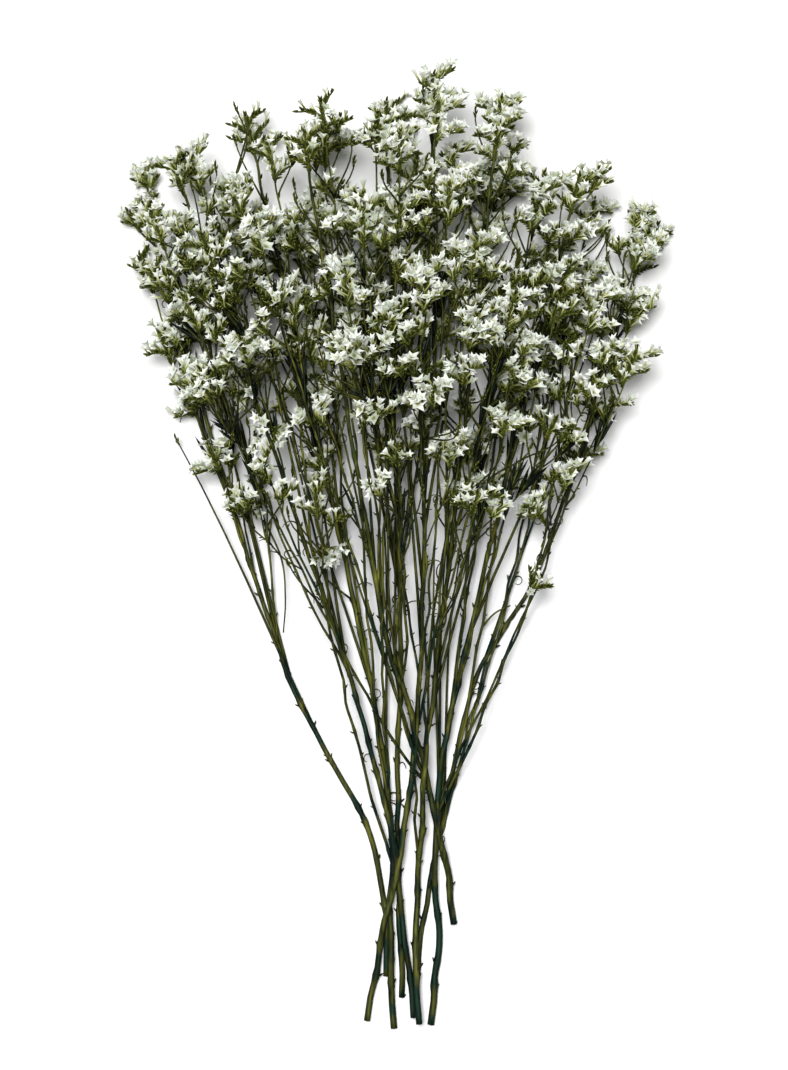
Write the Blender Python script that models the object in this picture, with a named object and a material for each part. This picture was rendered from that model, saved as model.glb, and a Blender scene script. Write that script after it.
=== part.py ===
"""A bunch of dried white statice that lies on a table: nine cut stems, each one body with its branches
and florets.

Metres, +Z up. The table is the plane Z = 0. The cut ends point towards -Y and the flowers towards +Y.
Each stem is laid over those below it. The flower spikes stand in a fan-shaped crown, each belongs to
the stem that passes nearest, and a branch that would meet another stem is bent clear of it.
"""

import math
import random
from dataclasses import dataclass

import bmesh
import bpy
import numpy as np
from mathutils import Matrix, Vector
from mathutils.geometry import interpolate_bezier

# The crown of flowers, measured from the waist where the stems cross.
WAIST = Vector((0.005, -0.180, 0.008))
CROWN_HEIGHT = 0.112
EDGE_HEIGHT_SHARE = 0.42  # the crown's height at its sides, as a share of the middle's
CROWN_ARCH = (0.28, 0.60)  # the stretch of a sine arch, as shares of it, that the crown's top follows
CROWN_REACH = (  # direction in degrees from +Y, and how far the outermost spikes stand from the waist
    (-24.0, 0.330),
    (-21.0, 0.378),
    (-16.0, 0.386),
    (-9.0, 0.398),
    (2.0, 0.408),
    (7.0, 0.402),
    (13.0, 0.372),
    (21.0, 0.362),
    (23.0, 0.320),
)
SPIKES = 134
NEAREST_SPIKE_SHARE = 0.53
OUTWARD_POWER = 0.6  # under 1, more of the spikes stand far out
UPWARD_POWER = 0.85  # under 1, more of them stand high
SPIKE_CHOICES = 16

# Spikes whose places show in the outline: x, y and the height as a share of the crown's there.
OUTLINE_SPIKES = (
    (-0.033, -0.006, 0.30),
    (-0.032, 0.030, 0.55),
    (-0.074, 0.024, 0.10),
    (-0.094, 0.050, 0.45),
    (-0.107, 0.078, 0.05),
    (-0.121, 0.112, 0.35),
    (-0.131, 0.150, 0.05),
    (-0.104, 0.200, 0.50),
    (-0.030, 0.229, 0.55),
    (0.058, 0.226, 0.35),
    (0.079, 0.192, 0.20),
    (0.103, 0.178, 0.05),
    (0.128, 0.128, 0.35),
    (0.117, 0.100, 0.05),
    (0.111, 0.075, 0.50),
    (0.099, 0.050, 0.10),
    (0.030, 0.052, 0.60),
)

# Nine stems, the lowest first: the course over the table from the cut end up, the tip, and the radius
# at the cut end. Three of them rest with their tips on the table.
STEMS = (
    {
        "course": ((-0.004, -0.222), (-0.005, -0.185), (-0.014, -0.143), (-0.038, -0.100), (-0.064, -0.040)),
        "tip": (-0.130, 0.178, 0.005),
        "radius": 0.0018,
        "rests": True,
    },
    {
        "course": ((0.000, -0.249), (-0.002, -0.193), (-0.001, -0.153), (-0.007, -0.098), (-0.021, -0.027)),
        "tip": (-0.076, 0.221, 0.020),
        "radius": 0.0020,
    },
    {
        "course": ((0.004, -0.233), (0.003, -0.198), (0.002, -0.128), (0.003, -0.077), (0.003, -0.027)),
        "tip": (-0.004, 0.230, 0.005),
        "radius": 0.0018,
        "rests": True,
    },
    {
        "course": ((0.010, -0.237), (0.014, -0.200), (0.024, -0.150), (0.042, -0.070), (0.078, -0.002)),
        "tip": (0.130, 0.158, 0.005),
        "radius": 0.0017,
        "rests": True,
    },
    {
        "course": ((0.010, -0.243), (0.006, -0.206), (-0.001, -0.148), (-0.012, -0.108), (-0.030, -0.045)),
        "tip": (-0.112, 0.196, 0.052),
        "radius": 0.0018,
    },
    {
        "course": ((0.019, -0.247), (0.023, -0.203), (0.021, -0.160), (0.026, -0.103), (0.040, -0.040)),
        "tip": (0.094, 0.188, 0.050),
        "radius": 0.0021,
    },
    {
        "course": ((-0.014, -0.245), (-0.006, -0.200), (0.003, -0.158), (0.010, -0.108), (0.014, -0.047)),
        "tip": (0.020, 0.238, 0.060),
        "radius": 0.0019,
    },
    {
        "course": ((0.031, -0.195), (0.027, -0.164), (0.018, -0.123), (0.006, -0.077), (-0.008, -0.027)),
        "tip": (-0.045, 0.206, 0.092),
        "radius": 0.0020,
    },
    {
        "course": ((0.013, -0.246), (0.011, -0.203), (0.014, -0.148), (0.017, -0.098), (0.024, -0.042)),
        "tip": (0.052, 0.212, 0.086),
        "radius": 0.0019,
    },
)
STEM_TIP_RADIUS = 0.0007
STEM_SIDES = 6
STEM_RINGS = 14
STEM_RISE = 1.15  # over 1, the stems stay low near the waist and rise towards the crown
BEND_SLOPE = 0.14  # how steeply a stem comes down again from one that it crosses
REST_SINK = 0.0003  # how deep the lowest stems are cut off flat by the table

# Side branches leave the stem, and twigs leave the branches. The angle is that of the chord in degrees,
# and the root's radius is a share of the radius of what the shoot leaves.
BRANCH = {"angle": (4.0, 8.0), "root_share": 0.60, "tip_radius": 0.00055}
BRANCH_GROUPS = 7
BRANCH_SIDES = 4
BRANCH_RINGS = 5
TWIG = {"angle": (13.0, 24.0), "root_share": 0.70, "tip_radius": 0.00045}
TWIG_SIDES = 3
LOWEST_ROOT_SHARE = 0.18
BRANCH_TRIES = 14
TRY_STEP = 0.0022
WOBBLE_SHARE = 0.012
ROOT_BEND = 2.0  # how far the root leans out past the chord
TIP_LIFT = (-0.1, 0.3)  # how far the tip turns down or up
LEAST_TAPER = 1.15

# Room kept between two stems and everything on them.
GAP = 0.00035
BALL_STEP = 0.0012
CURVE_STEPS = 24
LIFT_STEP = 0.0002

# A floret: a funnel whose mouth is a five-pointed star, larger than life.
FLORET_POINTS = 5
FLORET_RADIUS = 0.0075
FLORET_LENGTH = 0.0088
FLORET_SINK = 0.0007
FLORET_STALK = 0.0027
FLORET_STALK_RADIUS = 0.0007
NOTCH_SHARE = 0.48
NOTCH_RISE_SHARE = 0.80

# A spike: a thick twig's end with florets in two rows on one side.
FLORETS_PER_SPIKE = (2, 3)
FLORET_STEP = 0.0075
SPIKE_LENGTH = 0.022
LONGEST_SPIKE_SHARE = 0.7  # of its twig
SPIKE_RADIUS = 0.0016
SPIKE_TIP_RADIUS = 0.0009
END_FLORET_LEAN = (0.2, 0.6)
SIDE_FLORET_RISE = 0.5
SPIKE_TURN = math.radians(75)
ROW_TURN = math.radians(50)
LOWEST_SPIKE = 0.0105
TABLE_CUT = 0.003  # how far the lowest florets may dip into the table, which cuts them off flat

STEM_GREEN = (0.115, 0.130, 0.045, 1.0)
SEED = 7
UP = Vector((0, 0, 1))


@dataclass
class Shoot:
    """A stem, branch or twig: its smooth route, its tube's rings, and the root and direction of each floret.

    The tube opens into the first floret, and the others stand on it.
    """

    route: list
    points: list
    radii: list
    sides: int
    florets: list

    def balls(self):
        """Rows of x, y, z and radius that fill the shoot closely enough to test it for room."""
        rows = [balls_along(self.points, self.radii)]
        for root, direction in self.florets:
            for share in (0.35, 0.85):
                centre = root + direction * (FLORET_STALK + FLORET_LENGTH * share)
                radius = FLORET_RADIUS * min(1.02, share * 1.3)
                rows.append(np.array([(*centre, radius)]))
        return np.concatenate(rows)


def lerp(a, b, share):
    """The value that lies share of the way from a to b."""
    return a + (b - a) * share


def crown_reach(direction):
    """How far the outermost spikes stand from the waist in this direction, in degrees from +Y."""
    angles, reaches = zip(*CROWN_REACH)
    return float(np.interp(direction, angles, reaches))


def crown_top(direction, share):
    """The height of the crown's top in a direction, at a share of its reach from the waist."""
    left, right = CROWN_REACH[0][0], CROWN_REACH[-1][0]
    across = (direction - left) / (right - left) * 2 - 1
    arch = math.sin(math.pi * lerp(*CROWN_ARCH, share))
    return CROWN_HEIGHT * lerp(1.0, EDGE_HEIGHT_SHARE, across**2) * arch


def evenly(points, count):
    """count points at even distances along a line of points."""
    rows = np.array(points)
    along = np.concatenate([[0.0], np.cumsum(np.linalg.norm(np.diff(rows, axis=0), axis=1))])
    at = np.linspace(0.0, along[-1], count)
    return [Vector(p) for p in np.column_stack([np.interp(at, along, rows[:, k]) for k in range(3)])]


def smooth_route(points, count):
    """count points, evenly spaced, on the smooth curve through the given ones."""
    ends = [points[0] * 2 - points[1], *points, points[-1] * 2 - points[-2]]
    dense = []
    for before, start, end, after in zip(ends, ends[1:], ends[2:], ends[3:]):
        handles = start + (end - before) / 6, end - (after - start) / 6
        dense += interpolate_bezier(start, *handles, end, CURVE_STEPS)[:-1]
    dense.append(points[-1])
    return evenly(dense, count)


def route_length(points):
    """The length of a line of points."""
    return sum((b - a).length for a, b in zip(points, points[1:]))


def balls_along(points, radii):
    """Rows of x, y, z and radius along a tube, no further apart than the ball step."""
    rows = []
    for (a, b), (wide, narrow) in zip(zip(points, points[1:]), zip(radii, radii[1:])):
        for share in np.linspace(0.0, 1.0, max(2, int((b - a).length / BALL_STEP) + 1)):
            rows.append((*lerp(a, b, share), lerp(wide, narrow, share)))
    return np.array(rows)


def is_clear(balls, taken):
    """Whether none of the balls comes within the gap of what other stems have taken."""
    margin = FLORET_RADIUS * 2 + GAP
    low, high = balls[:, :3].min(0) - margin, balls[:, :3].max(0) + margin
    near = taken[(taken[:, :3] > low).all(1) & (taken[:, :3] < high).all(1)]
    if not len(near):
        return True
    apart = np.linalg.norm(balls[:, None, :3] - near[None, :, :3], axis=2)
    return bool((apart > balls[:, None, 3] + near[None, :, 3] + GAP).all())


def laid_over(course, radius, below):
    """The course, raised where it passes over the stems below and bent down again on both sides."""
    points = np.array(course)
    needed = points[:, 2].copy()
    for balls in below:
        apart = np.linalg.norm(points[:, None, :2] - balls[None, :, :2], axis=2)
        room = radius + balls[None, :, 3] + GAP
        over = balls[None, :, 2] + np.sqrt(np.maximum(room**2 - apart**2, 0.0))
        needed = np.maximum(needed, np.where(apart < room, over, 0.0).max(1))
    fall = np.abs(points[:, None, 1] - points[None, :, 1]) * BEND_SLOPE
    lift = ((needed - points[:, 2])[None, :] - fall).max(1)
    return [Vector((x, y, z + up)) for (x, y, z), up in zip(points, lift)]


def lay_stem(plan, below, rng):
    """A main stem from its cut end to its tip, laid over the stems below it."""
    radius, tip = plan["radius"], Vector(plan["tip"])
    course = smooth_route([*[Vector((x, y, 0.0)) for x, y in plan["course"]], tip.xy.to_3d()], 160)
    for point in course:
        share = max(0.0, (point.y - WAIST.y) / (tip.y - WAIST.y))
        point.z = lerp(radius - REST_SINK, tip.z, share**STEM_RISE)
    route = evenly(laid_over(course, radius, below), 91)
    points = evenly(route, STEM_RINGS)
    radii = [lerp(radius, STEM_TIP_RADIUS, k / (STEM_RINGS - 1)) for k in range(STEM_RINGS)]
    turn = math.pi / 2 if plan.get("rests") else rng.uniform(-SPIKE_TURN, SPIKE_TURN)
    taken = np.concatenate(below) if below else np.empty((0, 4))
    while not is_clear(balls_along(points, radii), taken):
        for point in [*route, *points]:
            point.z += LIFT_STEP
    return Shoot(route, points, radii, STEM_SIDES, spike_florets(points, turn, rng))


def back_along(points, distance):
    """The point of a tube's middle line that lies this far back from its tip."""
    for before, after in zip(points[-2::-1], points[:0:-1]):
        length = (after - before).length
        if distance < length:
            return lerp(after, before, distance / length)
        distance -= length
    return points[0]


def spike_florets(points, turn, rng):
    """(root, direction) of a spike's florets: one at the tip, the others in two rows on the turned side."""
    axis = (points[-1] - points[-2]).normalized()
    side = axis.cross(UP).normalized()
    out = Matrix.Rotation(turn, 3, axis) @ side.cross(axis)
    florets = [(points[-1], (axis + out * rng.uniform(*END_FLORET_LEAN)).normalized())]
    for k in range(1, rng.choice(FLORETS_PER_SPIKE)):
        direction = axis * SIDE_FLORET_RISE + Matrix.Rotation(ROW_TURN * (-1) ** k, 3, axis) @ out
        florets.append((back_along(points, FLORET_STEP * k), direction.normalized()))
    return florets


def random_spot(rng):
    """A place in the crown for one spike."""
    direction = rng.uniform(CROWN_REACH[0][0], CROWN_REACH[-1][0])
    share = lerp(NEAREST_SPIKE_SHARE, 1.0, rng.random() ** OUTWARD_POWER)
    reach, turn = crown_reach(direction) * share, math.radians(direction)
    z = lerp(LOWEST_SPIKE, crown_top(direction, share), rng.random() ** UPWARD_POWER)
    return Vector((WAIST.x + math.sin(turn) * reach, WAIST.y + math.cos(turn) * reach, z))


def outline_spot(x, y, height_share):
    """The place of a spike that shows in the outline."""
    direction = math.degrees(math.atan2(x - WAIST.x, y - WAIST.y))
    share = math.hypot(x - WAIST.x, y - WAIST.y) / crown_reach(direction)
    return Vector((x, y, lerp(LOWEST_SPIKE, crown_top(direction, share), height_share)))


def spike_spots(rng, tips):
    """The spikes' places beside the stems' own, well spread: each is the loneliest of a few random ones."""
    spots = [*tips, *[outline_spot(*spike) for spike in OUTLINE_SPIKES]]
    while len(spots) < SPIKES:
        choices = [random_spot(rng) for _ in range(SPIKE_CHOICES)]
        spots.append(max(choices, key=lambda spot: min((spot - s).length for s in spots)))
    return spots[len(tips) :]


def nearest_stem(spot, stems):
    """The number of the stem whose upper half passes nearest to a spot."""
    return min(range(len(stems)), key=lambda k: min((spot - p).length for p in stems[k].route[45::3]))


def grouped(parent, tips):
    """Tips in groups by the side of the parent on which they stand."""
    axis = (parent.route[-1] - parent.route[0]).normalized()
    side = axis.cross(UP).normalized()
    up = side.cross(axis)
    groups = {}
    for tip in tips:
        arm = tip - min(parent.route, key=lambda p: (p - tip).length)
        turn = math.atan2(arm.dot(up), arm.dot(side)) % math.tau
        groups.setdefault(int(turn / math.tau * BRANCH_GROUPS), []).append(tip)
    return [groups[k] for k in sorted(groups)]


def side_route(parent, tip, angle, rng):
    """A route that leaves the parent, swings up beside it and ends at the tip, and its root's number."""
    line = parent.route
    gaps = [(p - tip).length for p in line]
    nearest = gaps.index(min(gaps))
    back = int(gaps[nearest] / math.tan(angle) / (line[1] - line[0]).length)
    root = min(max(nearest - back, int(len(line) * LOWEST_ROOT_SHARE)), len(line) - 3)
    start, along = line[root], (line[root + 1] - line[root]).normalized()
    chord = tip - start
    leave = (chord.normalized() * ROOT_BEND - along).normalized()
    arrive = (chord.normalized() + (tip - WAIST).normalized() + UP * rng.uniform(*TIP_LIFT)).normalized()
    bend = chord.length / 3
    route = interpolate_bezier(start, start + leave * bend, tip - arrive * bend, tip, 60)
    wobble = Vector([rng.uniform(-1, 1) for _ in range(3)]) * chord.length * WOBBLE_SHARE
    for k, point in enumerate(route):
        share = k / (len(route) - 1)
        point += wobble * math.sin(math.pi * share) * math.cos(math.pi * 2 * share)
    return root, evenly(route, 41)


def spike_points(route):
    """The points of a twig's rings: its root and middle, the middle of its spike, and its tip."""
    spike = min(SPIKE_LENGTH / route_length(route), LONGEST_SPIKE_SHARE)
    marks = (0.0, (1.0 - spike) / 2, 1.0 - spike / 2, 1.0)
    return [route[round(mark * (len(route) - 1))] for mark in marks]


def shoot_from(parent, tip, facts, rng):
    """A branch or twig from the parent to the tip."""
    root, route = side_route(parent, tip, math.radians(rng.uniform(*facts["angle"])), rng)
    place = root / (len(parent.route) - 1) * (len(parent.radii) - 1)
    thick = float(np.interp(place, range(len(parent.radii)), parent.radii)) * facts["root_share"]
    thin = facts["tip_radius"]
    thick = max(thick, thin * LEAST_TAPER)
    turn = rng.uniform(-SPIKE_TURN, SPIKE_TURN)
    if facts is TWIG:
        points = spike_points(route)
        radii = [thick, thin, SPIKE_RADIUS, SPIKE_TIP_RADIUS]
        return Shoot(route, points, radii, TWIG_SIDES, spike_florets(points, turn, rng))
    points = evenly(route, BRANCH_RINGS)
    radii = [lerp(thick, thin, k / (BRANCH_RINGS - 1)) for k in range(BRANCH_RINGS)]
    return Shoot(route, points, radii, BRANCH_SIDES, spike_florets(points, turn, rng))


def try_shoot(parent, tip, facts, taken, rng):
    """A shoot to the tip or near it that is clear of the other stems, or None where there is no room."""
    for attempt in range(BRANCH_TRIES):
        spot = tip + Vector([rng.uniform(-1, 1) for _ in range(3)]) * TRY_STEP * attempt
        spot.z = max(spot.z, LOWEST_SPIKE)
        shoot = shoot_from(parent, spot, facts, rng)
        balls = shoot.balls()
        over_table = (balls[:, 2] > balls[:, 3] - TABLE_CUT).all()
        if over_table and min(p.z for p in shoot.points) > shoot.radii[0] and is_clear(balls, taken):
            return shoot
    return None


def grow(parent, tips, facts, taken, rng):
    """Shoots that carry the tips: a branch for each group, with the group's other tips on its twigs."""
    if facts is TWIG:
        made = [try_shoot(parent, tip, TWIG, taken, rng) for tip in tips]
        return [shoot for shoot in made if shoot]
    grown = []
    for group in grouped(parent, tips):
        waiting = sorted(group, key=lambda tip: -(tip - WAIST).length)
        leader = None
        while waiting and not leader:
            leader = try_shoot(parent, waiting.pop(0), facts, taken, rng)
        if leader:
            grown += [leader, *grow(leader, waiting, TWIG, taken, rng)]
    return grown


def plan_bunch():
    """The stems, each as a list of shoots that starts with the main stem."""
    rng = random.Random(SEED)
    mains, below = [], []
    for plan in STEMS:
        mains.append(lay_stem(plan, below, rng))
        below.append(balls_along(mains[-1].points, mains[-1].radii))
    owned = [[] for _ in mains]
    for spot in spike_spots(rng, [main.route[-1] for main in mains]):
        owned[nearest_stem(spot, mains)].append(spot)
    stems = [[main] for main in mains]
    taken = [main.balls() for main in mains]
    for k, main in enumerate(mains):
        others = np.concatenate([rows for j, rows in enumerate(taken) if j != k])
        stems[k] += grow(main, owned[k], BRANCH, others, rng)
        taken[k] = np.concatenate([shoot.balls() for shoot in stems[k]])
    return stems


def ring_at(mesh, centre, axis, across, radius, sides):
    """A ring of vertices round a point of a branch."""
    arms = [Matrix.Rotation(math.tau * k / sides, 3, axis) @ across for k in range(sides)]
    return [mesh.verts.new(centre + arm * radius) for arm in arms]


def add_mouth(mesh, ring, centre, axis, across):
    """The mouth of a floret, a five-pointed star that opens out of a ring."""
    rim = []
    for k in range(FLORET_POINTS * 2):
        arm = Matrix.Rotation(math.pi * k / FLORET_POINTS, 3, axis) @ across
        reach, rise = (NOTCH_SHARE, NOTCH_RISE_SHARE) if k % 2 else (1.0, 1.0)
        rim.append(mesh.verts.new(centre + axis * FLORET_LENGTH * rise + arm * FLORET_RADIUS * reach))
    for k in range(0, len(rim), 2):
        mesh.faces.new((rim[k - 1], rim[k], rim[k + 1]))
    mesh.faces.new(rim[1::2])
    per_side = len(rim) / len(ring)
    for k in range(len(rim)):
        after = (k + 1) % len(rim)
        here, there = int((k + 0.5) / per_side), int((after + 0.5) / per_side) % len(ring)
        mesh.faces.new((ring[here], rim[after], rim[k]))
        if there != here:
            mesh.faces.new((ring[here], ring[there], rim[after]))


def finished(mesh, name):
    """The mesh as Blender data, with its faces outward."""
    bmesh.ops.recalc_face_normals(mesh, faces=mesh.faces[:])
    made = bpy.data.meshes.new(name)
    mesh.to_mesh(made)
    mesh.free()
    return made


def tube_mesh(shoot):
    """The closed tube of a shoot, which opens into the floret at its tip."""
    mesh = bmesh.new()
    axis = (shoot.points[1] - shoot.points[0]).normalized()
    across = axis.orthogonal().normalized()
    rings = []
    for k, (point, radius) in enumerate(zip(shoot.points, shoot.radii)):
        last = len(shoot.points) - 1
        after = (shoot.points[min(k + 1, last)] - shoot.points[max(k - 1, 0)]).normalized()
        across = axis.rotation_difference(after) @ across
        axis = after
        rings.append(ring_at(mesh, point, axis, across, radius, shoot.sides))
    for lower, upper in zip(rings, rings[1:]):
        for k in range(shoot.sides):
            mesh.faces.new((lower[k - 1], lower[k], upper[k], upper[k - 1]))
    mesh.faces.new(rings[0])
    mouth = shoot.florets[0][1]
    add_mouth(mesh, rings[-1], shoot.points[-1], mouth, axis.rotation_difference(mouth) @ across)
    return finished(mesh, "shoot")


def floret_mesh():
    """A floret along +Z on a short pointed stalk, with the point at the origin."""
    mesh = bmesh.new()
    across = Vector((1, 0, 0))
    point = mesh.verts.new((0, 0, 0))
    collar = ring_at(mesh, UP * FLORET_STALK, UP, across, FLORET_STALK_RADIUS, 3)
    for k in range(len(collar)):
        mesh.faces.new((point, collar[k - 1], collar[k]))
    add_mouth(mesh, collar, UP * FLORET_STALK, UP, across)
    return finished(mesh, "floret")


def linked(name, mesh, collection):
    """A new object of the mesh in the collection."""
    made = bpy.data.objects.new(name, mesh)
    collection.objects.link(made)
    return made


def apply_modifiers(obj):
    """Makes the modifiers' result the object's own mesh."""
    bpy.context.view_layer.update()
    graph = bpy.context.evaluated_depsgraph_get()
    result = bpy.data.meshes.new_from_object(obj.evaluated_get(graph))
    obj.modifiers.clear()
    obj.data = result


def join_all(base, others):
    """One Boolean union of the base and a collection, whose objects are then removed."""
    union = base.modifiers.new("joined", "BOOLEAN")
    union.operation = "UNION"
    union.operand_type = "COLLECTION"
    union.collection = others
    union.solver = "MANIFOLD"
    apply_modifiers(base)
    for obj in list(others.objects):
        bpy.data.objects.remove(obj)
    bpy.data.collections.remove(others)


def cut_at_table(obj, table):
    """Cuts off flat what dips below the table, so that it rests on small flat spots."""
    cut = obj.modifiers.new("table", "BOOLEAN")
    cut.operation = "DIFFERENCE"
    cut.object = table
    cut.solver = "MANIFOLD"
    apply_modifiers(obj)


def connected(start):
    """Every vertex that edges join to the start, the start included."""
    found, front = {start}, [start]
    while front:
        for edge in front.pop().link_edges:
            for vertex in edge.verts:
                if vertex not in found:
                    found.add(vertex)
                    front.append(vertex)
    return found


def keep_one_body(data):
    """Keeps the largest shell alone: hollows that the union sealed are filled, loose scraps dropped."""
    mesh = bmesh.new()
    mesh.from_mesh(data)
    bmesh.ops.dissolve_verts(mesh, verts=[v for v in mesh.verts if len(v.link_edges) == 2])
    bmesh.ops.triangulate(mesh, faces=mesh.faces[:])
    unseen, shells = set(mesh.verts), []
    while unseen:
        shells.append(connected(next(iter(unseen))))
        unseen -= shells[-1]
    largest = max(shells, key=len)
    bmesh.ops.delete(mesh, geom=[v for v in mesh.verts if v not in largest], context="VERTS")
    mesh.to_mesh(data)
    mesh.free()


def dried_green():
    """The olive green of the dried stems."""
    made = bpy.data.materials.new("dried_green")
    made.use_nodes = True
    shader = made.node_tree.nodes["Principled BSDF"]
    shader.inputs["Base Color"].default_value = STEM_GREEN
    shader.inputs["Roughness"].default_value = 0.75
    return made


def build_stem(name, shoots, floret, table):
    """One flowering stem: its tube, branches and florets joined into one body."""
    scene = bpy.context.scene.collection
    base = linked(name, tube_mesh(shoots[0]), scene)
    others = bpy.data.collections.new(f"{name}_shoots")
    scene.children.link(others)
    for shoot in shoots[1:]:
        linked("shoot", tube_mesh(shoot), others)
    for shoot in shoots:
        for place, direction in shoot.florets[1:]:
            turn = direction.to_track_quat("Z", "Y").to_matrix().to_4x4()
            root = Matrix.Translation(place - direction * FLORET_SINK)
            linked("floret", floret, others).matrix_world = root @ turn
    join_all(base, others)
    if min(v.co.z for v in base.data.vertices) < 0:
        cut_at_table(base, table)
    keep_one_body(base.data)
    base.data.materials.clear()
    base.data.materials.append(dried_green())


def table_guide():
    """The space below the table, as a guide that isn't part of the bunch."""
    mesh = bmesh.new()
    bmesh.ops.create_cube(mesh, size=1.0)
    bmesh.ops.translate(mesh, verts=mesh.verts[:], vec=(0, 0, -0.5))
    guide = linked("below_table", finished(mesh, "below_table"), bpy.context.scene.collection)
    guide.hide_render = True
    guide.display_type = "WIRE"
    return guide


def main():
    """Clears the scene and builds the bunch."""
    for obj in list(bpy.data.objects):
        bpy.data.objects.remove(obj)
    table, floret = table_guide(), floret_mesh()
    for number, shoots in enumerate(plan_bunch(), 1):
        build_stem(f"flowering_stem_{number}", shoots, floret, table)
    bpy.data.objects.remove(table)


main()
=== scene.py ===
"""A bunch of dried white statice that lies on a pale table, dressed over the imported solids.

Metres, +Z up. The plan of the bunch repeats the rule that the solids were made by, with the same seed and
the same order of draws, so each fine stem, branch and flower head stands where its solid does.
"""

import sys
import logging
import math
import random
from dataclasses import dataclass, field
from enum import Enum
from typing import Optional, Sequence

import bmesh
import bpy
import numpy as np
from mathutils import Matrix, Vector
from mathutils.geometry import interpolate_bezier


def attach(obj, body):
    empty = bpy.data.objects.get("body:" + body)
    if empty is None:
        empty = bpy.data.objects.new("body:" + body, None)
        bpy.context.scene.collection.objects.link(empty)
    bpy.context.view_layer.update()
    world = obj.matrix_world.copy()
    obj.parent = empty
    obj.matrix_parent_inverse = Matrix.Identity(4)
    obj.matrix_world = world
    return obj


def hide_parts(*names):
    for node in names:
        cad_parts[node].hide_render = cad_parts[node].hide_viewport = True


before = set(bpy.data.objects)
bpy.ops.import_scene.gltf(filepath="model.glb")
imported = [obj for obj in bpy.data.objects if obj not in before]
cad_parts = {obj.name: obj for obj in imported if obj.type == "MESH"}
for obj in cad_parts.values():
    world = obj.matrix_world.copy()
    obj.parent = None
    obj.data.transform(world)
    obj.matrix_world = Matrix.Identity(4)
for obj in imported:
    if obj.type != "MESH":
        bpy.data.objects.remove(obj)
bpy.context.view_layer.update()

log = logging.getLogger("statice")
UP = Vector((0.0, 0.0, 1.0))


def lerp(a, b, share: float):
    """The value that lies share of the way from a to b."""
    return a + (b - a) * share


def evenly(points: Sequence[Vector], count: int) -> list[Vector]:
    """count points at even distances along a line of points."""
    rows = np.array(points)
    along = np.concatenate([[0.0], np.cumsum(np.linalg.norm(np.diff(rows, axis=0), axis=1))])
    at = np.linspace(0.0, along[-1], count)
    return [Vector(p) for p in np.column_stack([np.interp(at, along, rows[:, k]) for k in range(3)])]


def smooth(points: Sequence[Vector], count: int, steps: int = 24) -> list[Vector]:
    """count points, evenly spaced, on the smooth curve through the given ones."""
    ends = [points[0] * 2 - points[1], *points, points[-1] * 2 - points[-2]]
    dense: list[Vector] = []
    for before, start, end, after in zip(ends, ends[1:], ends[2:], ends[3:]):
        handles = start + (end - before) / 6, end - (after - start) / 6
        dense += interpolate_bezier(start, *handles, end, steps)[:-1]
    dense.append(points[-1])
    return evenly(dense, count)


def route_length(points: Sequence[Vector]) -> float:
    """The length of a line of points."""
    return sum((b - a).length for a, b in zip(points, points[1:]))


def back_along(points: Sequence[Vector], distance: float) -> Vector:
    """The point of a line of points that lies this far back from its end."""
    for before, after in zip(points[-2::-1], points[:0:-1]):
        length = (after - before).length
        if distance < length:
            return lerp(after, before, distance / length)
        distance -= length
    return points[0]


@dataclass(frozen=True)
class StemPlan:
    """The course of one main stem over the table, its tip, and its radius at the cut end."""

    course: tuple[tuple[float, float], ...]
    tip: tuple[float, float, float]
    radius: float
    rests: bool = False


@dataclass(frozen=True)
class ShootKind:
    """How one kind of side shoot leaves what it grows on: its angle in degrees and its radii."""

    angle: tuple[float, float]
    root_share: float
    tip_radius: float
    rings: int


@dataclass
class Shoot:
    """A stem, branch or twig: its smooth route, its solid's rings, and the root and direction of each
    floret of its solid."""

    route: list[Vector]
    points: list[Vector]
    radii: list[float]
    florets: list[tuple[Vector, Vector]]
    kind: Optional[ShootKind] = None


BRANCH = ShootKind((4.0, 8.0), 0.60, 0.00055, 5)
TWIG = ShootKind((13.0, 24.0), 0.70, 0.00045, 4)

STEMS = (
    StemPlan(
        ((-0.004, -0.222), (-0.005, -0.185), (-0.014, -0.143), (-0.038, -0.100), (-0.064, -0.040)),
        (-0.130, 0.178, 0.005),
        0.0018,
        True,
    ),
    StemPlan(
        ((0.000, -0.249), (-0.002, -0.193), (-0.001, -0.153), (-0.007, -0.098), (-0.021, -0.027)),
        (-0.076, 0.221, 0.020),
        0.0020,
    ),
    StemPlan(
        ((0.004, -0.233), (0.003, -0.198), (0.002, -0.128), (0.003, -0.077), (0.003, -0.027)),
        (-0.004, 0.230, 0.005),
        0.0018,
        True,
    ),
    StemPlan(
        ((0.010, -0.237), (0.014, -0.200), (0.024, -0.150), (0.042, -0.070), (0.078, -0.002)),
        (0.130, 0.158, 0.005),
        0.0017,
        True,
    ),
    StemPlan(
        ((0.010, -0.243), (0.006, -0.206), (-0.001, -0.148), (-0.012, -0.108), (-0.030, -0.045)),
        (-0.112, 0.196, 0.052),
        0.0018,
    ),
    StemPlan(
        ((0.019, -0.247), (0.023, -0.203), (0.021, -0.160), (0.026, -0.103), (0.040, -0.040)),
        (0.094, 0.188, 0.050),
        0.0021,
    ),
    StemPlan(
        ((-0.014, -0.245), (-0.006, -0.200), (0.003, -0.158), (0.010, -0.108), (0.014, -0.047)),
        (0.020, 0.238, 0.060),
        0.0019,
    ),
    StemPlan(
        ((0.031, -0.195), (0.027, -0.164), (0.018, -0.123), (0.006, -0.077), (-0.008, -0.027)),
        (-0.045, 0.206, 0.092),
        0.0020,
    ),
    StemPlan(
        ((0.013, -0.246), (0.011, -0.203), (0.014, -0.148), (0.017, -0.098), (0.024, -0.042)),
        (0.052, 0.212, 0.086),
        0.0019,
    ),
)


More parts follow.
